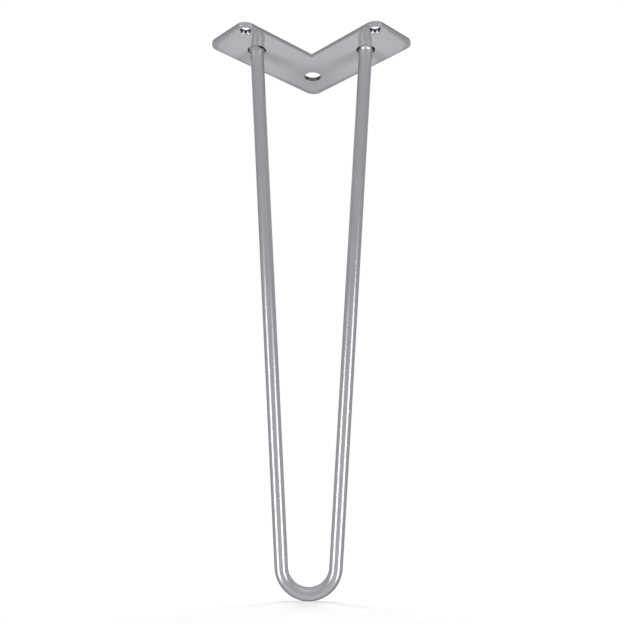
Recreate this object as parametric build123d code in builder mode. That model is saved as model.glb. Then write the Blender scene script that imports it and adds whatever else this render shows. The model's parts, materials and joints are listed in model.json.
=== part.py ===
"""Two-rod hairpin table leg: one bent round bar welded under a two-armed corner plate.

Millimetres, +Z up into the table, +Y towards the table's corner, +X to the right arm's side.
The origin is the middle of the elbow hole, in the face that lies against the table.
"""

import os
from math import asin, atan2, cos, degrees, hypot, radians, sin, sqrt

from build123d import *

os.makedirs("parts", exist_ok=True)

# The leg as a whole
leg_height = 406.0  # table face to floor
splay = 10.0  # degrees that the hairpin leans out, towards the table's corner

# The corner plate
plate_thickness = 3.0
arm_length = 110.0  # along an outer edge, from the sharp outer corner to the arm's end
arm_width = 43.5
corner_radius = 8.0  # every corner of the outline but the notch between the arms
edge_round = 0.5  # outline's rim on the underside
edge_break = 0.3  # outline's rim on the table's side

# The holes in the plate
elbow_hole_diameter = 13.0
elbow_hole_inset = 23.0  # from both outer edges
screw_hole_diameter = 6.0
screw_head_diameter = 9.0  # mouth of the countersink
screw_head_angle = 90.0
screw_inset = 7.5  # from an arm's end and from its inner edge

# The hairpin
rod_diameter = 10.0
bend_radius = 20.0  # to the rod's centreline
rod_inset = 30.0  # from an arm's end to the rod's axis, along the arm's middle

# The weld round each end of the rod
weld_leg = 2.0
weld_hollow = 0.3  # how far the bead's face dips behind a straight slope

# Places that follow from the sizes
rod_radius = rod_diameter / 2
underside = Plane.XY.offset(-plate_thickness)
outer_corner = (0, elbow_hole_inset * sqrt(2), 0)
# Seen from above: X runs down the right arm's outer edge, the left arm lies along minus Y
plate_plane = Plane(origin=outer_corner, x_dir=(1, -1, 0), z_dir=(0, 0, 1))
notch = (arm_width, -arm_width)
right_screw = plate_plane.from_local_coords((arm_length - screw_inset, screw_inset - arm_width))
right_rod = plate_plane.from_local_coords((arm_length - rod_inset, -arm_width / 2))

# The hairpin's own plane: X across the leg, Y up the slope, origin between the rod's two ends
rod_plane = Plane(
    origin=(0, right_rod.Y, -plate_thickness),
    x_dir=(1, 0, 0),
    z_dir=(0, -cos(radians(splay)), -sin(radians(splay))),
)
bend_bottom = (leg_height - plate_thickness - rod_radius) / cos(radians(splay))
bend_centre = bend_bottom - bend_radius
# Angle between each straight run and the hairpin's middle line, so that it is tangent to the bend
run_angle = atan2(right_rod.X, bend_centre) - asin(bend_radius / hypot(right_rod.X, bend_centre))
tangent_x = bend_radius * cos(run_angle)
tangent_y = -bend_centre - bend_radius * sin(run_angle)
# Length of rod above the underside, cut away so that both ends sit flat on the plate
end_allowance = rod_diameter
top_x = right_rod.X + end_allowance * sin(run_angle)
top_y = end_allowance * cos(run_angle)

with BuildPart() as mounting_plate:
    with BuildSketch(plate_plane) as outline:
        Rectangle(arm_length, arm_width, align=(Align.MIN, Align.MAX))
        Rectangle(arm_width, arm_length, align=(Align.MIN, Align.MAX))
        fillet(outline.vertices().sort_by_distance(notch)[1:], corner_radius)
    extrude(amount=-plate_thickness)
    fillet(mounting_plate.edges().group_by(Axis.Z)[0], edge_round)
    chamfer(mounting_plate.edges().group_by(Axis.Z)[-1], edge_break)
    Hole(elbow_hole_diameter / 2)
    for side in (-1, 1):
        mouth = (side * right_screw.X, right_screw.Y, -plate_thickness)
        with Locations(Plane(origin=mouth, z_dir=(0, 0, -1))):
            CounterSinkHole(
                screw_hole_diameter / 2,
                screw_head_diameter / 2,
                depth=plate_thickness,
                counter_sink_angle=screw_head_angle,
            )

with BuildPart() as hairpin_rod:
    with BuildLine(rod_plane) as centreline:
        Line((-top_x, top_y), (-tangent_x, tangent_y))
        ThreePointArc((-tangent_x, tangent_y), (0, -bend_bottom), (tangent_x, tangent_y))
        Line((tangent_x, tangent_y), (top_x, top_y))
    with BuildSketch(Plane(origin=centreline.line @ 0, z_dir=centreline.line % 0)):
        Circle(rod_radius)
    sweep(path=centreline.line)
    split(bisect_by=underside, keep=Keep.BOTTOM)

# Each bead is a ring on the plate's underside, with the slanting rod cut out of its middle
welds = {}
for name, side in (("weld_left", -1), ("weld_right", 1)):
    rod_end = (side * right_rod.X, right_rod.Y, -plate_thickness)
    with BuildPart() as weld:
        with BuildSketch(Plane(origin=rod_end, x_dir=(1, 0, 0), z_dir=(0, -1, 0))):
            with BuildLine():
                toe = (rod_radius + weld_leg, 0)
                dip = weld_leg / 2 - weld_hollow / sqrt(2)
                hollow = (rod_radius + dip, -dip)
                shoulder = (rod_radius, -weld_leg)
                core = rod_radius - weld_leg
                ThreePointArc(toe, hollow, shoulder)
                Polyline(shoulder, (core, -weld_leg), (core, 0), toe)
            make_face()
        revolve(axis=Axis(rod_end, (0, 0, 1)))
        add(hairpin_rod.part, mode=Mode.SUBTRACT)
    welds[name] = weld

print(f"rod ends {2 * right_rod.X:.2f} apart, screws {2 * right_screw.X:.2f} apart")
print(f"each run stands {degrees(run_angle):.2f} degrees off the hairpin's middle line")

for name, piece in {"mounting_plate": mounting_plate, "hairpin_rod": hairpin_rod, **welds}.items():
    piece.part.label = name
    export_step(piece.part, f"parts/{name}.step")
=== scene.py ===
"""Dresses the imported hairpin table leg: smooth meshes, a satin silver finish, studio light and a camera.

Run as a script in Blender 4.5. Metres, in the part's own frame: +Z up into the table, +Y to its corner.
"""

import json
from collections import namedtuple
from math import asin, atan2, cos, degrees, hypot, pi, radians, sin, sqrt

import bmesh
import bpy
from bpy.props import FloatProperty, FloatVectorProperty, IntProperty, PointerProperty
from mathutils import Euler, Matrix, Vector
from mathutils.geometry import delaunay_2d_cdt, intersect_point_line


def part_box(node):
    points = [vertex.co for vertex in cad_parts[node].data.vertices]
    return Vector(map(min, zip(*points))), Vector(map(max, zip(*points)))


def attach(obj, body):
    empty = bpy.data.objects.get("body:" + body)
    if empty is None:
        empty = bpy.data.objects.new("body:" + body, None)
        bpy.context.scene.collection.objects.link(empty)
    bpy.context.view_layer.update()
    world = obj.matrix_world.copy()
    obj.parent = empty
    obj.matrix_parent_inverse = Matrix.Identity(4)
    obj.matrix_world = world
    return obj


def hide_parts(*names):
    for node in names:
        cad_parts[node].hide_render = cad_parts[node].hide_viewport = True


bl_info = {
    "name": "Hairpin table leg",
    "version": (1, 0, 0),
    "blender": (4, 5, 0),
    "location": "View3D > Sidebar > Hairpin leg",
    "description": "Builds the dressed hairpin table leg and its studio around the packed frame",
    "category": "Object",
}

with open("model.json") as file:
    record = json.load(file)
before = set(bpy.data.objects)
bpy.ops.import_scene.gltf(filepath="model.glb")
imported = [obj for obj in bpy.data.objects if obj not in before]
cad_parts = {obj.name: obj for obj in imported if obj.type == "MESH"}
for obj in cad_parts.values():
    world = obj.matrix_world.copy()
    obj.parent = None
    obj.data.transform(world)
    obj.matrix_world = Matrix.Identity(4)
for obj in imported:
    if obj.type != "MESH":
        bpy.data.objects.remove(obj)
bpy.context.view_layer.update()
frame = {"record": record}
MOUNTS = {mount["name"]: mount for mount in frame["record"]["mounts"]}
PLATE_LOW, PLATE_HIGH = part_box("mounting_plate")
ROD_LOW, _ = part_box("hairpin_rod")
WELD_LOW, WELD_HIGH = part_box("weld_right")

MM = 0.001
PHOTO_SIDE = 624  # pixels, the photograph's width and height
SENSOR_WIDTH = 36.0  # millimetres of film across the picture
BODY = "root"
BARE_AND_SHADE = "bare_metal_and_shade"  # vertex attribute, 1 where the coating is missing; the bare steel there is painted dark, as shade inside the holes
PAINTED_SHADE = "painted_shade"  # vertex attribute, 1 where a weld is painted black as shade at its toe and sides
GLINT_MASK = "glint_mask"  # vertex attribute, 1 where a weld is smoother and more metallic, with its colour painted light as a highlight
BEAD_SWELL = "bead_swell"  # vertex attribute, 1 in the middle of a bead's face and 0 at its edges
BEAD_TURN = "bead_turn"  # vertex attribute, share of the way round a bead
TONE = "tone"  # vertex attribute, grey of the studio room


# Sizes, finish and studio

class LegSizes(bpy.types.PropertyGroup):
    """Sizes of the leg's pieces; places that the frame gives are read from it."""

    arm_length: FloatProperty(
        name="Arm length", description="Outer corner to an arm's end, along the outer edge",
        default=110 * MM, unit="LENGTH")
    arm_width: FloatProperty(
        name="Arm width", description="Width of each arm of the plate",
        default=43.5 * MM, unit="LENGTH")
    corner_radius: FloatProperty(
        name="Corner radius", description="Round of the outline's corners",
        default=8 * MM, unit="LENGTH")
    edge_round: FloatProperty(
        name="Lower rim round", description="Round of the outline's rim on the underside",
        default=0.5 * MM, unit="LENGTH")
    edge_break: FloatProperty(
        name="Upper rim round", description="Round of the outline's rim on the table's side",
        default=0.3 * MM, unit="LENGTH")
    edge_roll: FloatProperty(
        name="Edge roll", description="How far the underside draws back at the outline",
        default=0.22 * MM, unit="LENGTH")
    roll_width: FloatProperty(
        name="Roll width", description="How far in from the outline the underside starts to draw back",
        default=4.5 * MM, unit="LENGTH")
    hole_round: FloatProperty(
        name="Hole edge round", description="Round of the edges of the holes",
        default=0.2 * MM, unit="LENGTH")
    hole_band: FloatProperty(
        name="Hole band", description="Width of the even band of faces round each hole",
        default=0.6 * MM, unit="LENGTH")
    screw_head: FloatProperty(
        name="Countersink mouth", description="Width of the countersinks at the underside",
        default=9 * MM, unit="LENGTH")
    rod_diameter: FloatProperty(
        name="Rod diameter", description="Diameter of the round bar",
        default=10 * MM, unit="LENGTH")
    bend_radius: FloatProperty(
        name="Bend radius", description="Radius of the bend, to the rod's middle",
        default=20 * MM, unit="LENGTH")
    splay: FloatProperty(
        name="Splay", description="Lean of the hairpin towards the table's corner",
        default=radians(10), subtype="ANGLE")
    weld_hollow: FloatProperty(
        name="Weld hollow", description="How far the bead's face dips behind a straight slope",
        default=0.3 * MM, unit="LENGTH")
    weld_ripples: IntProperty(
        name="Weld ripples", description="Ripples round each bead",
        default=17, min=3)
    ripple_depth: FloatProperty(
        name="Ripple depth", description="Depth of the ripples in the beads",
        default=0.24 * MM, unit="LENGTH")


class LegFinish(bpy.types.PropertyGroup):
    """Colours and gloss of the satin silver finish."""

    silver: FloatVectorProperty(
        name="Silver", description="Colour of the finish on the plate and the rod",
        default=(0.53, 0.52, 0.556), subtype="COLOR", size=3, min=0, max=1)
    bead: FloatVectorProperty(
        name="Bead", description="Colour of the weld beads",
        default=(0.3, 0.295, 0.31), subtype="COLOR", size=3, min=0, max=1)
    # Painted shade: the hole walls are bare steel, and this dark colour makes them look shaded inside
    bare_and_shade: FloatVectorProperty(
        name="Bare steel", description="Colour of the walls of the holes",
        default=(0.18, 0.175, 0.18), subtype="COLOR", size=3, min=0, max=1)
    # Painted highlight: light colour on smoother, more metallic stretches of the right bead, where a glint
    # shows
    painted_glint: FloatVectorProperty(
        name="Polished", description="Colour of the bright stretches of the welds",
        default=(0.75, 0.74, 0.76), subtype="COLOR", size=3, min=0, max=1)
    # Painted shade: near-black colour put on the beads' toes and sides, where shade falls at the joint
    black_shade: FloatVectorProperty(
        name="Scorched", description="Colour of the darkened stretches of the welds",
        default=(0.01, 0.01, 0.01), subtype="COLOR", size=3, min=0, max=1)
    metallic: FloatProperty(
        name="Metallic", description="Share of the finish that shines as bare metal does",
        default=0.33, min=0, max=1, subtype="FACTOR")
    bead_metallic: FloatProperty(
        name="Bead metallic", description="The same share on the dull stretches of the welds",
        default=0.15, min=0, max=1, subtype="FACTOR")
    painted_glint_metallic: FloatProperty(
        name="Polished metallic", description="The same share on the bright stretches of the welds",
        default=0.9, min=0, max=1, subtype="FACTOR")
    plate_roughness: FloatProperty(
        name="Plate roughness", description="Roughness of the plate",
        default=0.14, min=0, max=1, subtype="FACTOR")
    rod_roughness: FloatProperty(
        name="Rod roughness", description="Roughness of the rod",
        default=0.22, min=0, max=1, subtype="FACTOR")
    bead_roughness: FloatProperty(
        name="Bead roughness", description="Roughness of the weld beads",
        default=0.5, min=0, max=1, subtype="FACTOR")
    painted_glint_roughness: FloatProperty(
        name="Polished roughness", description="Roughness of the bright stretches of the welds",
        default=0.35, min=0, max=1, subtype="FACTOR")
    # Specular level where black shade is painted on the beads
    black_shade_specular: FloatProperty(
        name="Scorched specular", description="Specular level of the darkened stretches of the welds",
        default=0.1, min=0, max=1, subtype="FACTOR")
    cloud_scale: FloatProperty(
        name="Cloud scale", description="Noise scale of the finish's slight clouding",
        default=45, min=0)
    tone_change: FloatProperty(
        name="Tone change", description="How much the clouding changes the tone",
        default=0.08, min=0, max=1, subtype="FACTOR")
    gloss_change: FloatProperty(
        name="Gloss change", description="How much the clouding changes the roughness",
        default=0.05, min=0, max=1, subtype="FACTOR")
    peel_scale: FloatProperty(
        name="Peel scale", description="Noise scale of the coating's orange peel",
        default=900, min=0)
    peel_height: FloatProperty(
        name="Peel height", description="Height of the orange peel's bumps",
        default=0.02 * MM, unit="LENGTH", precision=6)
    peel_strength: FloatProperty(
        name="Peel strength", description="How much the orange peel shows",
        default=0.08, min=0, max=1, subtype="FACTOR")


class LegStudio(bpy.types.PropertyGroup):
    """Camera, lights, floor, and the room that the metal mirrors."""

    camera_place: FloatVectorProperty(
        name="Camera", description="Where the camera stands",
        default=(0.02057, -0.59442, -0.33888), subtype="TRANSLATION", unit="LENGTH", size=3, precision=5)
    camera_pitch: FloatProperty(
        name="Pitch", description="How far the camera looks up",
        default=radians(13.386), subtype="ANGLE")
    camera_yaw: FloatProperty(
        name="Yaw", description="How far the camera looks to the right",
        default=radians(-1.847), subtype="ANGLE")
    camera_roll: FloatProperty(
        name="Roll", description="Turn about the line of sight",
        default=radians(0.604), subtype="ANGLE")
    focal_pixels: FloatProperty(
        name="Focal length", description="Focal length in pixels of the photograph",
        default=816.74)
    softbox_radiance: FloatProperty(
        name="Softbox brightness", description="Radiance of the two softboxes before the leg",
        default=5.7, min=0)
    softbox_azimuth: FloatProperty(
        name="Softbox azimuth", description="Angle of the front and low softboxes off the camera's side",
        default=radians(51), subtype="ANGLE")
    softbox_elevation: FloatProperty(
        name="Softbox elevation", description="Angle of the front softboxes above the leg's middle",
        default=radians(-29), subtype="ANGLE")
    softbox_reach: FloatProperty(
        name="Softbox reach", description="Distance of the side softboxes from the leg",
        default=1.6, unit="LENGTH")
    softbox_width: FloatProperty(
        name="Softbox width", description="Width of the softboxes before and behind the leg",
        default=0.7, unit="LENGTH")
    softbox_height: FloatProperty(
        name="Softbox height", description="Height of the two softboxes before the leg",
        default=1.15, unit="LENGTH")
    softbox_rise: FloatProperty(
        name="Softbox rise", description="How far the front softboxes are shifted up in their own planes",
        default=0.175, unit="LENGTH")
    low_radiance: FloatProperty(
        name="Low softbox brightness", description="Radiance of the two softboxes that light the underside",
        default=4.9, min=0)
    low_elevation: FloatProperty(
        name="Low softbox elevation", description="Angle of the low softboxes above the leg's middle",
        default=radians(-40), subtype="ANGLE")
    low_width: FloatProperty(
        name="Low softbox width", description="Width of the two low softboxes",
        default=0.35, unit="LENGTH")
    low_height: FloatProperty(
        name="Low softbox height", description="Height of the two low softboxes",
        default=0.6, unit="LENGTH")
    fill_radiance: FloatProperty(
        name="Back fill brightness", description="Radiance of the two softboxes behind the leg",
        default=8.0, min=0)
    fill_azimuth: FloatProperty(
        name="Back fill azimuth", description="Angle of the back softboxes off the camera's side",
        default=radians(145), subtype="ANGLE")
    fill_elevation: FloatProperty(
        name="Back fill elevation", description="Angle of the back softboxes above the leg's middle",
        default=radians(20), subtype="ANGLE")
    fill_height: FloatProperty(
        name="Back fill height", description="Height of the two softboxes behind the leg",
        default=0.6, unit="LENGTH")
    overhead_radiance: FloatProperty(
        name="Overhead brightness", description="Radiance of the softbox above the leg",
        default=4.2, min=0)
    overhead_place: FloatVectorProperty(
        name="Overhead place", description="Where the softbox above the leg hangs",
        default=(0, 0.1, 1.5), subtype="TRANSLATION", unit="LENGTH", size=3)
    overhead_size: FloatProperty(
        name="Overhead size", description="Width of the square softbox above the leg",
        default=1.4, unit="LENGTH")
    ambient: FloatProperty(
        name="Ambient", description="Light from all round on dull surfaces",
        default=0.05, min=0)
    front_tone: FloatProperty(
        name="Front tone", description="Grey of the mirrored room behind the camera",
        default=0.22, min=0, max=1)
    back_tone: FloatProperty(
        name="Back tone", description="Grey of the mirrored room behind the leg",
        default=0.38, min=0, max=1)
    upper_tone: FloatProperty(
        name="Upper tone", description="Grey of the mirrored room's upper walls",
        default=0.6, min=0, max=1)
    side_tone: FloatProperty(
        name="Side tone", description="Grey of the mirrored room's upper walls at the sides",
        default=0.15, min=0, max=1)
    near_ground_tone: FloatProperty(
        name="Near ground tone", description="Grey of the mirrored room's ground before the leg",
        default=0.5, min=0, max=1)
    ground_tone: FloatProperty(
        name="Far ground tone", description="Grey of the mirrored room's ground beside and behind the leg",
        default=0.15, min=0, max=1)
    card_place: FloatProperty(
        name="Card place", description="How far behind the elbow hole the white card stands",
        default=0.6, unit="LENGTH")
    card_width: FloatProperty(
        name="Card width", description="Width of the white card",
        default=0.33, unit="LENGTH")
    card_side: FloatProperty(
        name="Card side", description="How far the card's middle stands to the right",
        default=-0.02, unit="LENGTH")
    card_low: FloatProperty(
        name="Card bottom", description="Height of the card's lower edge",
        default=-0.56, unit="LENGTH")
    card_high: FloatProperty(
        name="Card top", description="Height of the card's upper edge",
        default=-0.31, unit="LENGTH")
    floor_half: FloatProperty(
        name="Floor half width", description="From the floor's middle to its edges",
        default=3.0, unit="LENGTH")
    floor_tone: FloatProperty(
        name="Floor tone", description="Grey of the floor under the lamps",
        default=0.6, min=0, max=1)
    floor_lift: FloatProperty(
        name="Floor lift", description="Own light of the floor, which brings it up to white",
        default=0.48, min=0, max=1)
    fade_start: FloatProperty(
        name="Fade start", description="How far from its middle the floor starts to turn to plain white",
        default=0.15, unit="LENGTH")
    fade_end: FloatProperty(
        name="Fade end", description="How far from its middle the floor is plain white",
        default=0.7, unit="LENGTH")


def sizes():
    """The leg's sizes, as the scene holds them."""
    return bpy.context.scene.hairpin_leg_sizes


def finish_values():
    """The finish's colours and gloss, as the scene holds them."""
    return bpy.context.scene.hairpin_leg_finish


def studio_values():
    """Camera, light and floor values, as the scene holds them."""
    return bpy.context.scene.hairpin_leg_studio


# Places that the frame gives

UNDERSIDE = PLATE_LOW.z
TABLE_FACE = PLATE_HIGH.z
FLOOR_LEVEL = ROD_LOW.z
ROD_END = Vector(((WELD_LOW.x + WELD_HIGH.x) / 2, (WELD_LOW.y + WELD_HIGH.y) / 2, UNDERSIDE))
WELD_LEG = WELD_HIGH.z - WELD_LOW.z
ELBOW_RADIUS = MOUNTS["elbow_hole"]["dims"]["r_mm"] * MM
SCREW_RADIUS = MOUNTS["arm_screws"]["dims"]["hole_r_mm"] * MM
SCREW_X = MOUNTS["arm_screws"]["dims"]["spacing_x_mm"] * MM / 2
SCREW_Y = MOUNTS["arm_screws"]["pos_m"][1]


# Mesh helpers

def ramp(value, low, high):
    """A soft step from 0 at the low value to 1 at the high one."""
    share = min(1.0, max(0.0, (value - low) / (high - low)))
    return share * share * (3 - 2 * share)


def link_object(name, data):
    """A new object of the scene with that data."""
    thing = bpy.data.objects.new(name, data)
    bpy.context.scene.collection.objects.link(thing)
    return thing


def new_piece(name, mesh, material, node):
    """Links a finished mesh as a piece of the leg that stands for a CAD node."""
    piece = link_object(name, mesh)
    mesh.materials.clear()
    mesh.materials.append(material)
    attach(piece, BODY)
    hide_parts(node)


def smooth_source(bm, name):
    """An object with smooth faces that look outward, from a finished bmesh, which is freed."""
    bmesh.ops.recalc_face_normals(bm, faces=bm.faces)
    for face in bm.faces:
        face.smooth = True
    mesh = bpy.data.meshes.new(name)
    bm.to_mesh(mesh)
    bm.free()
    return link_object(name, mesh)


def baked_mesh(source, name):
    """The evaluated mesh of an object with its modifiers, as a plain mesh; the object is removed."""
    depsgraph = bpy.context.evaluated_depsgraph_get()
    mesh = bpy.data.meshes.new_from_object(source.evaluated_get(depsgraph), depsgraph=depsgraph)
    mesh.name = name
    data = source.data
    bpy.data.objects.remove(source)
    if isinstance(data, bpy.types.Mesh):
        bpy.data.meshes.remove(data)
    else:
        bpy.data.curves.remove(data)
    return mesh


def quarter_round(radius, steps):
    """Insets and heights of a quarter round that leaves a flat face and ends on an upright wall."""
    angles = [pi / 2 * step / steps for step in range(steps + 1)]
    return [(radius * (1 - sin(angle)), radius * (1 - cos(angle))) for angle in angles]


def bridge(bm, loops):
    """Joins rings of equally many vertices with bands of four-sided faces."""
    for lower, upper in zip(loops, loops[1:]):
        for i in range(len(lower)):
            j = (i + 1) % len(lower)
            bm.faces.new((lower[i], lower[j], upper[j], upper[i]))


def ring_edges(bm, ring):
    """The edges round one ring of vertices."""
    return [bm.edges.get((ring[i - 1], ring[i])) for i in range(len(ring))]


# Node helpers

class Nodes:
    """Adds nodes to a tree from left to right and feeds their inputs."""

    COLUMN = 190  # from one node to the next in the node editor

    def __init__(self, tree):
        self.tree = tree
        self.count = 0

    def add(self, kind, inputs=None, **settings):
        """A new node of that kind, with its properties set and its inputs fed."""
        node = self.tree.nodes.new(kind)
        node.location = (self.count * self.COLUMN, 0)
        self.count += 1
        for name, value in settings.items():
            setattr(node, name, value)
        if inputs:
            self.feed(node, inputs)
        return node

    def feed(self, node, inputs):
        """Gives a node's inputs, by name or number, plain values or links from output sockets."""
        for name, value in inputs.items():
            if isinstance(value, bpy.types.NodeSocket):
                self.tree.links.new(value, node.inputs[name])
            else:
                node.inputs[name].default_value = value

    def math(self, operation, *operands):
        """A Math node's output; each operand is a number or a socket."""
        return self.add("ShaderNodeMath", dict(enumerate(operands)), operation=operation).outputs[0]

    def scaled(self, vector, factor):
        """A vector or colour times a factor."""
        node = self.add("ShaderNodeVectorMath", {0: vector, "Scale": factor}, operation="SCALE")
        return node.outputs[0]


def fresh_nodes(owner):
    """An empty node tree on a material or on the world."""
    owner.use_nodes = True
    owner.node_tree.nodes.clear()
    return Nodes(owner.node_tree)


def new_sockets(tree, way, sockets):
    """Adds sockets, given as their names and kinds, to a node tree; the way is INPUT or OUTPUT."""
    for name, kind in sockets.items():
        tree.interface.new_socket(name, in_out=way, socket_type="NodeSocket" + kind)


def geometry_tree(name, inputs):
    """Starts a tree that takes geometry, those inputs and a material; gives its nodes and what comes in."""
    tree = bpy.data.node_groups.new(name, "GeometryNodeTree")
    new_sockets(tree, "INPUT", {"Geometry": "Geometry", **inputs, "Material": "Material"})
    new_sockets(tree, "OUTPUT", {"Geometry": "Geometry"})
    nodes = Nodes(tree)
    return nodes, nodes.add("NodeGroupInput").outputs


def end_geometry_tree(nodes, inlet, geometry):
    """Ends a tree, which it returns: what was made becomes plain geometry with the tree's material."""
    realize = nodes.add("GeometryNodeRealizeInstances", {"Geometry": geometry})
    coat = nodes.add("GeometryNodeSetMaterial", {
        "Geometry": realize.outputs["Geometry"],
        "Material": inlet["Material"],
    })
    nodes.add("NodeGroupOutput", {"Geometry": coat.outputs["Geometry"]})
    return nodes.tree


def add_tree(piece, tree, values):
    """Puts a node tree on an object and sets its inputs by their identifiers."""
    modifier = piece.modifiers.new(tree.name, "NODES")
    modifier.node_group = tree
    sockets = [item for item in tree.interface.items_tree if item.item_type == "SOCKET"]
    identifiers = {item.name: item.identifier for item in sockets if item.in_out == "INPUT"}
    for name, value in values.items():
        modifier[identifiers[name]] = value


# Finish

# How the gloss changes where a surface turns away from the eye: the turn at which the change starts and
# ends, from 0 face on to 1 edge on, and what the shader's inputs end with
EdgeGloss = namedtuple("EdgeGloss", "start end inputs")
ROD_EDGE = EdgeGloss(0.3, 0.85, {"Metallic": 1.0})
PLATE_EDGE = EdgeGloss(0.6, 0.9, {"Metallic": 0.0, "Specular IOR Level": 0.0})


def silver_finish_group():
    """Shader group: slight clouding of the tone and gloss, and the fine orange peel of the coating."""
    name = "satin_silver_finish"
    if name in bpy.data.node_groups:
        return bpy.data.node_groups[name]
    tree = bpy.data.node_groups.new(name, "ShaderNodeTree")
    new_sockets(tree, "INPUT", {
        "Vector": "Vector",
        "Color": "Color",
        "Roughness": "Float",
        "Cloud Scale": "Float",
        "Tone Change": "Float",
        "Gloss Change": "Float",
        "Peel Scale": "Float",
    })
    new_sockets(tree, "OUTPUT", {"Color": "Color", "Roughness": "Float", "Height": "Float"})
    nodes = Nodes(tree)
    inlet = nodes.add("NodeGroupInput").outputs
    cloud = nodes.add("ShaderNodeTexNoise", {
        "Vector": inlet["Vector"],
        "Scale": inlet["Cloud Scale"],
        "Detail": 4.0,
        "Roughness": 0.55,
    }, noise_dimensions="3D")
    peel = nodes.add("ShaderNodeTexNoise", {
        "Vector": inlet["Vector"],
        "Scale": inlet["Peel Scale"],
        "Detail": 2.0,
    }, noise_dimensions="3D")
    swing = nodes.math("SUBTRACT", cloud.outputs["Fac"], 0.5)
    tone = nodes.math("ADD", nodes.math("MULTIPLY", swing, inlet["Tone Change"]), 1.0)
    gloss = nodes.math("MULTIPLY", swing, inlet["Gloss Change"])
    nodes.add("NodeGroupOutput", {
        "Color": nodes.scaled(inlet["Color"], tone),
        "Roughness": nodes.math("ADD", gloss, inlet["Roughness"]),
        "Height": peel.outputs["Fac"],
    })
    return tree


def masked(nodes, attribute, plain, marked):
    """A number or colour that turns from plain to marked with a vertex attribute."""
    mask = nodes.add("ShaderNodeAttribute", attribute_name=attribute)
    kind = "FLOAT" if isinstance(marked, float) else "RGBA"
    mix = nodes.add("ShaderNodeMix", {
        "Factor": mask.outputs["Fac"],
        "A": plain,
        "B": marked,
    }, data_type=kind)
    return mix.outputs["Result"]


def turned_away(nodes, edge, plain, turned):
    """A number that goes from a plain one to another where the surface turns away from the eye."""
    facing = nodes.add("ShaderNodeLayerWeight", {"Blend": 0.5})
    change = nodes.add("ShaderNodeMapRange", {
        "Value": facing.outputs["Facing"],
        "From Min": edge.start,
        "From Max": edge.end,
        "To Min": plain,
        "To Max": turned,
    }, interpolation_type="SMOOTHSTEP")
    return change.outputs["Result"]


def silver_material(name, color, roughness, metallic, edge=None, marks=None):
    """Satin silver coating on steel: part metal, part paint, with a fine orange peel.

    The marks say, for each vertex attribute, what the shader's inputs are where it is 1.
    """
    values = finish_values()
    material = bpy.data.materials.new(name)
    nodes = fresh_nodes(material)
    place = nodes.add("ShaderNodeTexCoord")
    finish = nodes.add("ShaderNodeGroup", {
        "Vector": place.outputs["Object"],
        "Color": (*color, 1.0),
        "Roughness": roughness,
        "Cloud Scale": values.cloud_scale,
        "Tone Change": values.tone_change,
        "Gloss Change": values.gloss_change,
        "Peel Scale": values.peel_scale,
    }, node_tree=silver_finish_group())
    bump = nodes.add("ShaderNodeBump", {
        "Strength": values.peel_strength,
        "Distance": values.peel_height,
        "Height": finish.outputs["Height"],
    })
    inputs = {
        "Base Color": finish.outputs["Color"],
        "Metallic": metallic,
        "Roughness": finish.outputs["Roughness"],
        "Specular IOR Level": 0.5,
        "Normal": bump.outputs["Normal"],
    }
    if edge:
        for socket, turned in edge.inputs.items():
            inputs[socket] = turned_away(nodes, edge, inputs[socket], turned)
    for attribute, changes in (marks or {}).items():
        for socket, marked in changes.items():
            inputs[socket] = masked(nodes, attribute, inputs[socket], marked)
    shader = nodes.add("ShaderNodeBsdfPrincipled", inputs)
    nodes.add("ShaderNodeOutputMaterial", {"Surface": shader.outputs["BSDF"]})
    return material


# Plate

def outer_corner_y():
    """Where the outline's outer corner would lie if it were sharp."""
    return PLATE_HIGH.y + sizes().corner_radius * (sqrt(2) - 1)


def plate_point(a, b, z):
    """A point of the plate from its distances along the two arms, from the sharp outer corner."""
    return Vector(((a - b) / sqrt(2), outer_corner_y() - (a + b) / sqrt(2), z))


def along_arms(x, y):
    """Distances along the two arms of a point given in the frame."""
    below = outer_corner_y() - y
    return Vector((below + x, below - x)) / sqrt(2)


def plate_outline(inset, steps):
    """The plate's outline pulled in by an inset, as distances along the arms, from the sharp notch on."""
    leg = sizes()
    low, high, inner = inset, leg.arm_length - inset, leg.arm_width - inset
    notch = Vector((inner, inner))
    corners = [Vector(p) for p in ((inner, high), (low, high), (low, low), (high, low), (high, inner))]
    radius = leg.corner_radius - inset
    points = [notch]
    for i, corner in enumerate(corners):
        before = corners[i - 1] if i else notch
        after = corners[i + 1] if i + 1 < len(corners) else notch
        inward = (before - corner).normalized()
        onward = (after - corner).normalized()
        centre = corner + (inward + onward) * radius
        for step in range(steps + 1):
            angle = pi / 2 * step / steps
            points.append(centre - onward * radius * cos(angle) - inward * radius * sin(angle))
    return points


def roll_at(distance):
    """How far the underside has dropped back at a distance from the outline."""
    leg = sizes()
    share = max(0.0, 1 - distance / leg.roll_width)
    return leg.edge_roll * share * share


def outline_distance(point, outline):
    """Distance of a point of the underside from the plate's outline, both given along the arms."""
    nearest = None
    for first, second in zip(outline, outline[1:] + outline[:1]):
        place, share = intersect_point_line(point, first, second)
        place = first if share < 0 else second if share > 1 else place.to_2d()
        gap = (point - place).length
        nearest = gap if nearest is None else min(nearest, gap)
    return nearest


def add_outline_wall(bm):
    """The plate's outer wall with its rounded rims; returns its lowest and highest rings."""
    corner_steps, rim_steps = 20, 5
    leg = sizes()
    base = UNDERSIDE + roll_at(leg.edge_round)
    levels = [(inset, base + rise) for inset, rise in quarter_round(leg.edge_round, rim_steps)]
    upper = [(inset, TABLE_FACE - drop) for inset, drop in quarter_round(leg.edge_break, rim_steps)]
    levels += reversed(upper)
    rings = []
    for inset, z in levels:
        outline = plate_outline(inset, corner_steps)
        rings.append([bm.verts.new(plate_point(a, b, z)) for a, b in outline])
    bridge(bm, rings)
    # The notch, which comes first in each ring, keeps its sharp edge
    for lower, higher in zip(rings, rings[1:]):
        bm.edges.get((lower[0], higher[0])).smooth = False
    return rings[0], rings[-1]


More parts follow.
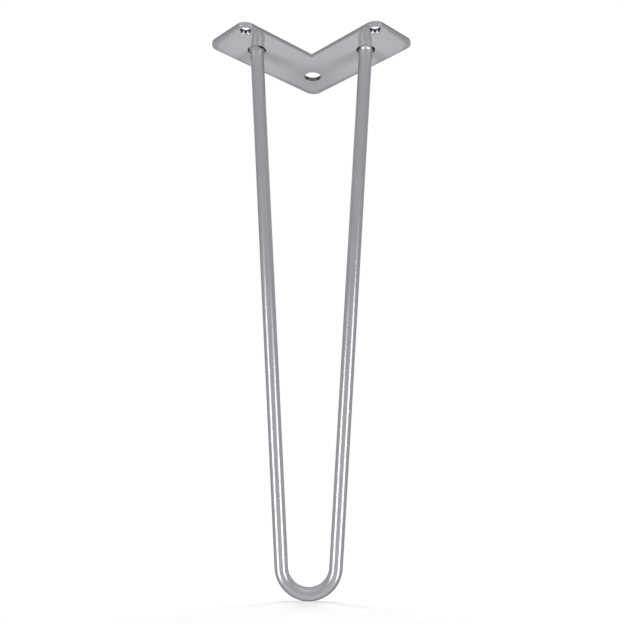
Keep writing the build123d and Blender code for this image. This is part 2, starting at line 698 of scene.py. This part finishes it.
def add_hole_wall(bm, centre, mouth_radius, hole_radius, outline, sides=64):
    """A hole's wall and the band round its mouth, with a countersink where the mouth is wider.

    Returns the outermost ring on the underside and the ring on the table's side.
    """
    leg = sizes()
    rim = leg.hole_round
    rim_steps = 3
    levels = [(mouth_radius + rim + leg.hole_band, UNDERSIDE)]
    levels += [(mouth_radius + inset, UNDERSIDE + rise) for inset, rise in quarter_round(rim, rim_steps)]
    lower_levels = len(levels)
    coated = 2  # levels that keep the finish, counted from the underside
    if mouth_radius > hole_radius:
        # Shares of the way down the countersink; the finish ends between the first two
        for share in (0.25, 0.35, 1.0):
            radius = mouth_radius + (hole_radius - mouth_radius) * share
            levels.append((radius, UNDERSIDE + rim + mouth_radius - radius))
        coated = lower_levels + 1
    upper = [(hole_radius + inset, TABLE_FACE - drop) for inset, drop in quarter_round(rim, rim_steps)]
    levels += reversed(upper)
    # Marks the hole walls, whose bare steel is painted dark as shade inside the holes
    bare_and_shade = bm.verts.layers.float[BARE_AND_SHADE]
    rings = []
    for level, (radius, z) in enumerate(levels):
        ring = []
        for i in range(sides):
            angle = 2 * pi * i / sides
            x, y = centre[0] + radius * cos(angle), centre[1] + radius * sin(angle)
            rise = 0.0
            if level < lower_levels:
                rise = roll_at(outline_distance(along_arms(x, y), outline))
            vert = bm.verts.new((x, y, z + rise))
            vert[bare_and_shade] = 0.0 if level < coated or level == len(levels) - 1 else 1.0
            ring.append(vert)
        rings.append(ring)
    bridge(bm, rings)
    return rings[0], rings[-1]


def inside_outline(place, outline):
    """Whether a point, given along the arms, lies inside the outline."""
    inside = False
    for first, second in zip(outline, outline[1:] + outline[:1]):
        if (first.y > place.y) != (second.y > place.y):
            cross = first.x + (place.y - first.y) / (second.y - first.y) * (second.x - first.x)
            inside = inside != (place.x < cross)
    return inside


def fill_underside(bm, rings, holes, outline):
    """Fills the underside between the rings with even triangles that follow the rolled edge."""
    pitch = 2 * MM
    keep_inside, merge_distance = 1, 1e-7
    points = []
    edges = []
    verts = []
    for ring in rings:
        first = len(points)
        points += [vert.co.to_2d() for vert in ring]
        verts += ring
        edges += [(first + i, first + (i + 1) % len(ring)) for i in range(len(ring))]
    leg = sizes()
    steps = int(leg.arm_length / pitch)
    for i in range(steps + 1):
        for j in range(steps + 1):
            place = Vector((i * pitch, j * pitch))
            if min(place) > leg.arm_width - pitch:
                continue
            spot = plate_point(place.x, place.y, 0).to_2d()
            if any((spot - centre).length < radius + pitch / 2 for centre, radius in holes):
                continue
            gap = outline_distance(place, outline)
            if gap < leg.edge_round + pitch / 2 or not inside_outline(place, outline):
                continue
            points.append(spot)
            verts.append(bm.verts.new((*spot, UNDERSIDE + roll_at(gap))))
    result = delaunay_2d_cdt(points, edges, [], keep_inside, merge_distance)
    faces, sources = result[2:4]
    for face in faces:
        corners = [verts[sources[i][0]] for i in face]
        middle = sum((vert.co.to_2d() for vert in corners), Vector((0, 0))) / len(corners)
        if all((middle - centre).length > radius for centre, radius in holes):
            bm.faces.new(corners)


def plate_mesh():
    """The corner plate as a closed mesh: rolled and rounded rims, elbow hole, two countersunk holes."""
    leg = sizes()
    bm = bmesh.new()
    bm.verts.layers.float.new(BARE_AND_SHADE)
    outline = plate_outline(inset=0, steps=12)
    screw_mouth = leg.screw_head / 2 - leg.hole_round
    holes = [(Vector((0, 0)), ELBOW_RADIUS, ELBOW_RADIUS)]
    for side in (-1, 1):
        holes.append((Vector((side * SCREW_X, SCREW_Y)), screw_mouth, SCREW_RADIUS))
    walls = [add_outline_wall(bm)]
    for centre, mouth, hole in holes:
        walls.append(add_hole_wall(bm, centre, mouth, hole, outline))
    top_edges = [edge for wall in walls for edge in ring_edges(bm, wall[1])]
    bmesh.ops.triangle_fill(bm, edges=top_edges, use_beauty=True, normal=(0, 0, 1))
    mouths = [(centre, mouth + leg.hole_round + leg.hole_band) for centre, mouth, _ in holes]
    fill_underside(bm, [wall[0] for wall in walls], mouths, outline)
    source = smooth_source(bm, "plate_source")
    # Large faces set the normals along their rims, so that the flats stay flat
    normals = source.modifiers.new("even_flats", "WEIGHTED_NORMAL")
    normals.weight = 100
    normals.keep_sharp = True
    return baked_mesh(source, "mounting_plate_smooth")


class HAIRPIN_OT_plate(bpy.types.Operator):
    """Makes the corner plate with its three holes"""

    bl_idname = "hairpin_leg.plate"
    bl_label = "Corner plate"

    def execute(self, context):
        values = finish_values()
        # The hole walls are bare steel, with their colour painted dark as shade inside the holes
        marks = {BARE_AND_SHADE: {"Base Color": (*values.bare_and_shade, 1.0), "Metallic": 1.0}}
        material = silver_material(
            "satin_silver_plate", values.silver, values.plate_roughness, values.metallic, PLATE_EDGE, marks)
        new_piece("mounting_plate_smooth", plate_mesh(), material, "mounting_plate")
        return {"FINISHED"}


# Hairpin rod

def rod_lean():
    """Angle of each run off the hairpin's middle line, and how far down the slope the bend's centre is."""
    leg = sizes()
    bend_bottom = (UNDERSIDE - FLOOR_LEVEL - leg.rod_diameter / 2) / cos(leg.splay)
    bend_centre = bend_bottom - leg.bend_radius
    lean = atan2(ROD_END.x, bend_centre) - asin(leg.bend_radius / hypot(ROD_END.x, bend_centre))
    return lean, bend_centre


def slope_point(x, depth):
    """A point in the hairpin's own plane: x across, depth down the slope from the plate's underside."""
    splay = sizes().splay
    return Vector((x, ROD_END.y + depth * sin(splay), UNDERSIDE - depth * cos(splay)))


def hairpin_tree():
    """Geometry nodes: rounds the point of a V, sweeps the bar along it and sets both ends on the plate."""
    nodes, inlet = geometry_tree("hairpin_sweep", {
        "Bend Radius": "Float",
        "Bend Steps": "Int",
        "Rod Radius": "Float",
        "Rod Sides": "Int",
        "Underside": "Float",
    })
    bend = nodes.add("GeometryNodeFilletCurve", {
        "Curve": inlet["Geometry"],
        "Radius": inlet["Bend Radius"],
        "Count": inlet["Bend Steps"],
    }, mode="POLY")
    ends = nodes.add("GeometryNodeCurveEndpointSelection")
    tangent = nodes.add("GeometryNodeInputTangent")
    keep_ends = nodes.add("GeometryNodeCaptureAttribute", domain="POINT")
    keep_ends.capture_items.new("BOOLEAN", "Rod End")
    keep_ends.capture_items.new("VECTOR", "Run")
    nodes.feed(keep_ends, {
        "Geometry": bend.outputs["Curve"],
        "Rod End": ends.outputs["Selection"],
        "Run": tangent.outputs["Tangent"],
    })
    section = nodes.add("GeometryNodeCurvePrimitiveCircle", {
        "Resolution": inlet["Rod Sides"],
        "Radius": inlet["Rod Radius"],
    }, mode="RADIUS")
    sweep = nodes.add("GeometryNodeCurveToMesh", {
        "Curve": keep_ends.outputs["Geometry"],
        "Profile Curve": section.outputs["Curve"],
        "Fill Caps": True,
    })
    # An end vertex slides along its run until it lies in the plate's underside
    run = keep_ends.outputs["Run"]
    place = nodes.add("GeometryNodeInputPosition")
    split_place = nodes.add("ShaderNodeSeparateXYZ", {0: place.outputs["Position"]})
    split_run = nodes.add("ShaderNodeSeparateXYZ", {0: run})
    rise = nodes.math("SUBTRACT", inlet["Underside"], split_place.outputs["Z"])
    slide = nodes.math("DIVIDE", rise, split_run.outputs["Z"])
    seat = nodes.add("GeometryNodeSetPosition", {
        "Geometry": sweep.outputs["Mesh"],
        "Selection": keep_ends.outputs["Rod End"],
        "Offset": nodes.scaled(run, slide),
    })
    smooth = nodes.add("GeometryNodeSetShadeSmooth", {"Geometry": seat.outputs["Geometry"]})
    return end_geometry_tree(nodes, inlet, smooth.outputs["Geometry"])


def hairpin_mesh(material):
    """The bent bar: a V between the plate and a point below the foot, rounded there to the bend."""
    leg = sizes()
    lean, bend_centre = rod_lean()
    point_depth = bend_centre + leg.bend_radius / sin(lean)
    route = [slope_point(-ROD_END.x, 0), slope_point(0, point_depth), slope_point(ROD_END.x, 0)]
    curve = bpy.data.curves.new("hairpin_line", "CURVE")
    curve.dimensions = "3D"
    spline = curve.splines.new("POLY")
    spline.points.add(len(route) - 1)
    for point, place in zip(spline.points, route):
        point.co = (*place, 1.0)
    source = link_object("hairpin_line", curve)
    add_tree(source, hairpin_tree(), {
        "Bend Radius": leg.bend_radius,
        "Bend Steps": 72,
        "Rod Radius": leg.rod_diameter / 2,
        "Rod Sides": 64,
        "Underside": UNDERSIDE,
        "Material": material,
    })
    return baked_mesh(source, "hairpin_rod_smooth")


class HAIRPIN_OT_rod(bpy.types.Operator):
    """Makes the bent bar, swept along its hairpin line"""

    bl_idname = "hairpin_leg.rod"
    bl_label = "Hairpin rod"

    def execute(self, context):
        values = finish_values()
        material = silver_material(
            "satin_silver_rod", values.silver, values.rod_roughness, values.metallic, ROD_EDGE)
        new_piece("hairpin_rod_smooth", hairpin_mesh(material), material, "hairpin_rod")
        return {"FINISHED"}


# Weld beads

# Stretches of each bead by azimuth from the front, in degrees: middle, half width and, where black shade is
# painted on, how far up the face from the plate; the glint stretches are painted light as a highlight
BEADS = {
    "weld_left": {
        "side": -1,
        "seed": 3.0,
        "black_shade": ((-90, 42, 0.65), (62, 60, 0.6)),
        "painted_glint": (),
    },
    "weld_right": {
        "side": 1,
        "seed": 8.0,
        "black_shade": ((-85, 50, 0.8), (85, 50, 0.8)),
        "painted_glint": ((-18, 22), (20, 25)),
    },
}
RIPPLE_BOW = 0.45  # how far a ripple runs ahead in the middle of the face, in ripples
RIPPLE_LEVEL = 1.15  # height of ripple and lumps together that leaves the face where it is
LUMP_SCALE = 350.0  # noise scale of the lumps that make the ripples uneven


def stretch_share(azimuth, middle, half_width):
    """1 in the middle of a stretch of a bead, falling softly to 0 at its ends."""
    gap = abs((azimuth - middle + 180) % 360 - 180)
    return 1 - ramp(gap, half_width / 2, half_width)


def bead_ring(bm, bead, turns, across):
    """A bead's closed ring round one rod end: along its hollow face, back along the rod and the plate."""
    side = bead["side"]
    leg = sizes()
    lean, _ = rod_lean()
    end = Vector((side * ROD_END.x, ROD_END.y, UNDERSIDE))
    run = (slope_point(-side * sin(lean), cos(lean)) - slope_point(0, 0)).normalized()
    sideways = run.cross(Vector((0, 1, 0))).normalized()
    forward = sideways.cross(run).normalized()
    swell = bm.verts.layers.float.new(BEAD_SWELL)
    turn = bm.verts.layers.float.new(BEAD_TURN)
    painted_shade = bm.verts.layers.float.new(PAINTED_SHADE)
    glint_mask = bm.verts.layers.float.new(GLINT_MASK)
    rings = []
    for i in range(turns):
        angle = 2 * pi * i / turns
        out = sideways * cos(angle) + forward * sin(angle)
        level = Vector((out.x, out.y, 0)).normalized()
        azimuth = degrees(atan2(level.x, -level.y))
        on_rod = end + out * leg.rod_diameter / 2
        root = on_rod + run * ((UNDERSIDE - on_rod.z) / run.z)
        toe = root + level * WELD_LEG
        shoulder = root + run * (WELD_LEG / -run.z)
        outward = (level + run).normalized()
        ring = []
        for j in range(across + 1):
            share = j / across
            arch = 4 * share * (1 - share)
            vert = bm.verts.new(toe.lerp(shoulder, share) - outward * leg.weld_hollow * arch)
            vert[swell] = arch
            vert[turn] = i / turns
            # Black shade is painted along the bead's toe over the listed stretches
            for middle, half_width, reach in bead["black_shade"]:
                shade_share = stretch_share(azimuth, middle, half_width) * (1 - ramp(share, reach / 2, reach))
                vert[painted_shade] = max(vert[painted_shade], shade_share)
            # The glint stretches get a painted highlight
            for middle, half_width in bead["painted_glint"]:
                vert[glint_mask] = max(vert[glint_mask], stretch_share(azimuth, middle, half_width))
            ring.append(vert)
        root_vert = bm.verts.new(root)
        root_vert[turn] = i / turns
        ring.append(root_vert)
        rings.append(ring)
    bridge(bm, rings + rings[:1])


def ripple_tree():
    """Geometry nodes: the overlapping ripples that a welder's torch leaves round a bead."""
    nodes, inlet = geometry_tree("weld_ripples", {"Ripples": "Float", "Depth": "Float", "Seed": "Float"})
    turn = nodes.add("GeometryNodeInputNamedAttribute", {"Name": BEAD_TURN}, data_type="FLOAT")
    face = nodes.add("GeometryNodeInputNamedAttribute", {"Name": BEAD_SWELL}, data_type="FLOAT")
    swell = face.outputs["Attribute"]
    # Each ripple is a scallop that runs ahead in the middle of the bead's face
    count = nodes.math("MULTIPLY", turn.outputs["Attribute"], inlet["Ripples"])
    ripple = nodes.math("ADD", count, nodes.math("MULTIPLY", swell, RIPPLE_BOW))
    scallop = nodes.math("ABSOLUTE", nodes.math("SINE", nodes.math("MULTIPLY", ripple, pi)))
    place = nodes.add("GeometryNodeInputPosition")
    lumps = nodes.add("ShaderNodeTexNoise", {
        "Vector": place.outputs["Position"],
        "W": inlet["Seed"],
        "Scale": LUMP_SCALE,
    }, noise_dimensions="4D")
    uneven = nodes.math("ADD", scallop, lumps.outputs["Fac"])
    height = nodes.math("MULTIPLY", nodes.math("SUBTRACT", uneven, RIPPLE_LEVEL), inlet["Depth"])
    normal = nodes.add("GeometryNodeInputNormal")
    raised = nodes.add("GeometryNodeSetPosition", {
        "Geometry": inlet["Geometry"],
        "Offset": nodes.scaled(normal.outputs["Normal"], nodes.math("MULTIPLY", height, swell)),
    })
    return end_geometry_tree(nodes, inlet, raised.outputs["Geometry"])


def weld_mesh(bead, tree, material):
    """One rippled bead round a rod end."""
    turns, across = 204, 12
    bm = bmesh.new()
    bead_ring(bm, bead, turns, across)
    source = smooth_source(bm, "weld_source")
    leg = sizes()
    add_tree(source, tree, {
        "Ripples": float(leg.weld_ripples),
        "Depth": leg.ripple_depth,
        "Seed": bead["seed"],
        "Material": material,
    })
    return baked_mesh(source, "weld_smooth")


class HAIRPIN_OT_welds(bpy.types.Operator):
    """Makes the two rippled weld beads"""

    bl_idname = "hairpin_leg.welds"
    bl_label = "Weld beads"

    def execute(self, context):
        values = finish_values()
        marks = {
            # Smoother, more metallic stretches whose colour is painted light as a highlight
            GLINT_MASK: {
                "Base Color": (*values.painted_glint, 1.0),
                "Metallic": values.painted_glint_metallic,
                "Roughness": values.painted_glint_roughness,
            },
            # The beads' toes and sides are painted black as shade
            PAINTED_SHADE: {
                "Base Color": (*values.black_shade, 1.0),
                "Specular IOR Level": values.black_shade_specular,
            },
        }
        material = silver_material(
            "satin_silver_bead", values.bead, values.bead_roughness, values.bead_metallic, marks=marks)
        tree = ripple_tree()
        for node, bead in BEADS.items():
            new_piece(node + "_bead", weld_mesh(bead, tree, material), material, node)
        return {"FINISHED"}


# Stage

# Angles in degrees between which the grey of the mirrored room changes; turns are measured from the
# camera's side, rises and drops from the level
WALL_TURN = (60, 140)  # from the front wall to the back wall
UPPER_RISE = (12, 28)  # from the walls to the upper walls
CEILING_RISE = (34, 50)  # from the upper walls to the ceiling
CEILING_TURN = (90, 140)  # from the white ceiling before the leg to the grey behind it
SIDE_START = (60, 75)  # into the dark upper wall at the side
SIDE_END = (105, 120)  # out of it again
SIDE_RISE = (20, 26)  # up into it
SIDE_TOP = (44, 56)  # up out of it
GROUND_DROP = (24, 40)  # from the walls down to the ground
GROUND_TURN = (10, 50)  # from the ground before the leg to the far ground


def add_camera():
    """The camera at the photograph's viewing angle."""
    values = studio_values()
    data = bpy.data.cameras.new("photo_camera")
    data.sensor_width = SENSOR_WIDTH
    data.lens = values.focal_pixels / PHOTO_SIDE * SENSOR_WIDTH
    camera = link_object("photo_camera", data)
    turn = Euler((pi / 2 + values.camera_pitch, 0, -values.camera_yaw)).to_matrix()
    turn = turn @ Matrix.Rotation(values.camera_roll, 3, "Z")
    camera.matrix_world = Matrix.Translation(values.camera_place) @ turn.to_4x4()
    bpy.context.scene.camera = camera


def direction(azimuth, elevation):
    """A unit vector from the leg, by azimuth from the camera's side and elevation."""
    return Vector((sin(azimuth) * cos(elevation), -cos(azimuth) * cos(elevation), sin(elevation)))


def add_softbox(name, place, target, size, radiance, mirrored=False):
    """A rectangular lamp of that radiance, facing a target, that the camera doesn't see."""
    width, height = size
    data = bpy.data.lights.new(name, "AREA")
    data.shape = "RECTANGLE"
    data.size = width
    data.size_y = height
    data.energy = radiance * pi * width * height
    lamp = link_object(name, data)
    facing = (target - place).to_track_quat("-Z", "Y")
    lamp.matrix_world = Matrix.Translation(place) @ facing.to_matrix().to_4x4()
    lamp.visible_camera = False
    lamp.visible_glossy = mirrored


def add_side_softboxes(side, target):
    """One side's softboxes: the front one leaves a stripe on each rod, the low and back ones don't."""
    values = studio_values()
    name = "softbox_right" if side > 0 else "softbox_left"
    azimuth = side * values.softbox_azimuth
    away = direction(azimuth, values.softbox_elevation)
    upward = Vector((cos(azimuth), sin(azimuth), 0)).cross(-away)
    place = target + away * values.softbox_reach + upward * values.softbox_rise
    size = values.softbox_width, values.softbox_height
    add_softbox(name, place, place - away, size, values.softbox_radiance, mirrored=True)
    place = target + direction(azimuth, values.low_elevation) * values.softbox_reach
    size = values.low_width, values.low_height
    add_softbox("low_" + name, place, target, size, values.low_radiance)
    place = target + direction(side * values.fill_azimuth, values.fill_elevation) * values.softbox_reach
    size = values.softbox_width, values.fill_height
    add_softbox("back_" + name, place, target, size, values.fill_radiance)


def add_world():
    """White where it is seen, and a low, even level of light on dull surfaces."""
    ambient = studio_values().ambient
    world = bpy.data.worlds.new("white_studio")
    bpy.context.scene.world = world
    nodes = fresh_nodes(world)
    path = nodes.add("ShaderNodeLightPath").outputs
    seen = nodes.math("MAXIMUM", path["Is Camera Ray"], path["Is Glossy Ray"])
    seen = nodes.math("MAXIMUM", seen, path["Is Transmission Ray"])
    strength = nodes.math("ADD", nodes.math("MULTIPLY", seen, 1.0 - ambient), ambient)
    back = nodes.add("ShaderNodeBackground", {"Color": (1, 1, 1, 1), "Strength": strength})
    nodes.add("ShaderNodeOutputWorld", {"Surface": back.outputs["Background"]})


def floor_material():
    """Pale near the leg, where it takes the shadow, and plain white further off."""
    values = studio_values()
    tone = values.floor_tone
    material = bpy.data.materials.new("pale_floor")
    nodes = fresh_nodes(material)
    place = nodes.add("ShaderNodeTexCoord")
    distance = nodes.add("ShaderNodeVectorMath", {
        0: place.outputs["Object"],
        1: (0, 0, FLOOR_LEVEL),
    }, operation="DISTANCE")
    fade = nodes.add("ShaderNodeMapRange", {
        "Value": distance.outputs["Value"],
        "From Min": values.fade_start,
        "From Max": values.fade_end,
    }, interpolation_type="SMOOTHSTEP")
    shaded = nodes.add("ShaderNodeBsdfDiffuse", {"Color": (tone, tone, tone, 1.0)})
    lift = nodes.add("ShaderNodeEmission", {"Strength": values.floor_lift})
    near = nodes.add("ShaderNodeAddShader", {0: shaded.outputs["BSDF"], 1: lift.outputs["Emission"]})
    white = nodes.add("ShaderNodeEmission", {"Strength": 1.0})
    blend = nodes.add("ShaderNodeMixShader", {
        0: fade.outputs["Result"],
        1: near.outputs["Shader"],
        2: white.outputs["Emission"],
    })
    nodes.add("ShaderNodeOutputMaterial", {"Surface": blend.outputs["Shader"]})
    return material


def add_floor():
    """A plain pale floor under the foot, which keeps the leg's shadow and lights nothing itself."""
    half = studio_values().floor_half
    corners = ((-half, -half), (half, -half), (half, half), (-half, half))
    mesh = bpy.data.meshes.new("floor")
    mesh.from_pydata([(x, y, FLOOR_LEVEL) for x, y in corners], [], [(0, 1, 2, 3)])
    mesh.materials.append(floor_material())
    floor = link_object("floor", mesh)
    floor.visible_diffuse = False
    floor.visible_glossy = False
    floor.visible_shadow = False


def add_mirrored(name, mesh, tone=None):
    """Puts up a glowing thing that only the metal's mirror images show: white, or grey by an attribute."""
    material = bpy.data.materials.new(name)
    material.cycles.emission_sampling = "NONE"
    nodes = fresh_nodes(material)
    glow = nodes.add("ShaderNodeEmission")
    if tone:
        grey = nodes.add("ShaderNodeAttribute", attribute_name=tone)
        nodes.feed(glow, {"Strength": grey.outputs["Fac"]})
    nodes.add("ShaderNodeOutputMaterial", {"Surface": glow.outputs["Emission"]})
    mesh.materials.append(material)
    thing = link_object(name, mesh)
    thing.visible_camera = False
    thing.visible_diffuse = False
    thing.visible_shadow = False
    thing.visible_transmission = False


def blend_tones(first, second, share):
    """A grey between two, by the second one's share."""
    return first + (second - first) * share


def room_tone(azimuth, elevation):
    """Grey of the mirrored room in one direction, in degrees; the azimuth is off the camera's side."""
    values = studio_values()
    wall = blend_tones(values.front_tone, values.back_tone, ramp(azimuth, *WALL_TURN))
    tone = blend_tones(wall, values.upper_tone, ramp(elevation, *UPPER_RISE))
    ceiling = blend_tones(1.0, values.back_tone, ramp(azimuth, *CEILING_TURN))
    tone = blend_tones(tone, ceiling, ramp(elevation, *CEILING_RISE))
    side = ramp(azimuth, *SIDE_START) * (1 - ramp(azimuth, *SIDE_END))
    side *= ramp(elevation, *SIDE_RISE) * (1 - ramp(elevation, *SIDE_TOP))
    tone = blend_tones(tone, values.side_tone, side)
    ground = blend_tones(values.near_ground_tone, values.ground_tone, ramp(azimuth, *GROUND_TURN))
    return blend_tones(tone, ground, ramp(-elevation, *GROUND_DROP))


def add_room():
    """A round room round the leg: grey walls and ground, and a ceiling that is white before the leg."""
    radius, turns, levels = 2.0, 72, 48
    middle = Vector((0, 0, FLOOR_LEVEL / 2))
    points = []
    tones = []
    for j in range(levels + 1):
        elevation = -90 + 180 * j / levels
        for i in range(turns):
            azimuth = 360 * i / turns - 180
            points.append(middle + radius * direction(radians(azimuth), radians(elevation)))
            tones.append(room_tone(abs(azimuth), elevation))
    faces = []
    for j in range(levels):
        for i in range(turns):
            k = (i + 1) % turns
            faces.append((j * turns + i, j * turns + k, (j + 1) * turns + k, (j + 1) * turns + i))
    mesh = bpy.data.meshes.new("studio_room")
    mesh.from_pydata(points, [], faces)
    mesh.attributes.new(TONE, "FLOAT", "POINT").data.foreach_set("value", tones)
    add_mirrored("studio_room", mesh, TONE)


def add_card():
    """A white card low behind the leg, for the plate's underside to mirror."""
    values = studio_values()
    left = values.card_side - values.card_width / 2
    right = values.card_side + values.card_width / 2
    low, high = values.card_low, values.card_high
    corners = ((left, low), (right, low), (right, high), (left, high))
    mesh = bpy.data.meshes.new("white_card")
    mesh.from_pydata([(x, values.card_place, z) for x, z in corners], [], [(0, 1, 2, 3)])
    add_mirrored("white_card", mesh)


class HAIRPIN_OT_stage(bpy.types.Operator):
    """Sets up the camera, the lights, the floor, and the room and card that the metal mirrors"""

    bl_idname = "hairpin_leg.stage"
    bl_label = "Studio"

    def execute(self, context):
        values = studio_values()
        context.scene.view_settings.view_transform = "Standard"
        add_camera()
        add_world()
        add_floor()
        add_room()
        add_card()
        middle = Vector((0, 0, FLOOR_LEVEL / 2))
        for side in (-1, 1):
            add_side_softboxes(side, middle)
        above = Vector(values.overhead_place)
        size = values.overhead_size, values.overhead_size
        add_softbox("softbox_overhead", above, middle, size, values.overhead_radiance)
        return {"FINISHED"}


class HAIRPIN_PT_panel(bpy.types.Panel):
    """Lists the leg's pieces and its studio"""

    bl_idname = "HAIRPIN_PT_panel"
    bl_label = "Hairpin leg"
    bl_space_type = "VIEW_3D"
    bl_region_type = "UI"
    bl_category = "Hairpin leg"

    def draw(self, context):
        for step in STEPS:
            self.layout.operator(step.bl_idname)


STEPS = (HAIRPIN_OT_plate, HAIRPIN_OT_rod, HAIRPIN_OT_welds, HAIRPIN_OT_stage)
GROUPS = (LegSizes, LegFinish, LegStudio)
CLASSES = GROUPS + STEPS + (HAIRPIN_PT_panel,)


def register():
    """Registers the add-on's classes and puts its values on the scene."""
    for kind in CLASSES:
        bpy.utils.register_class(kind)
    bpy.types.Scene.hairpin_leg_sizes = PointerProperty(type=LegSizes)
    bpy.types.Scene.hairpin_leg_finish = PointerProperty(type=LegFinish)
    bpy.types.Scene.hairpin_leg_studio = PointerProperty(type=LegStudio)


def unregister():
    """Takes away what register() added."""
    del bpy.types.Scene.hairpin_leg_studio
    del bpy.types.Scene.hairpin_leg_finish
    del bpy.types.Scene.hairpin_leg_sizes
    for kind in reversed(CLASSES):
        bpy.utils.unregister_class(kind)


def main():
    """Builds the dressed leg and its studio."""
    register()
    bpy.ops.hairpin_leg.plate()
    bpy.ops.hairpin_leg.rod()
    bpy.ops.hairpin_leg.welds()
    bpy.ops.hairpin_leg.stage()


if __name__ == "__main__":
    main()
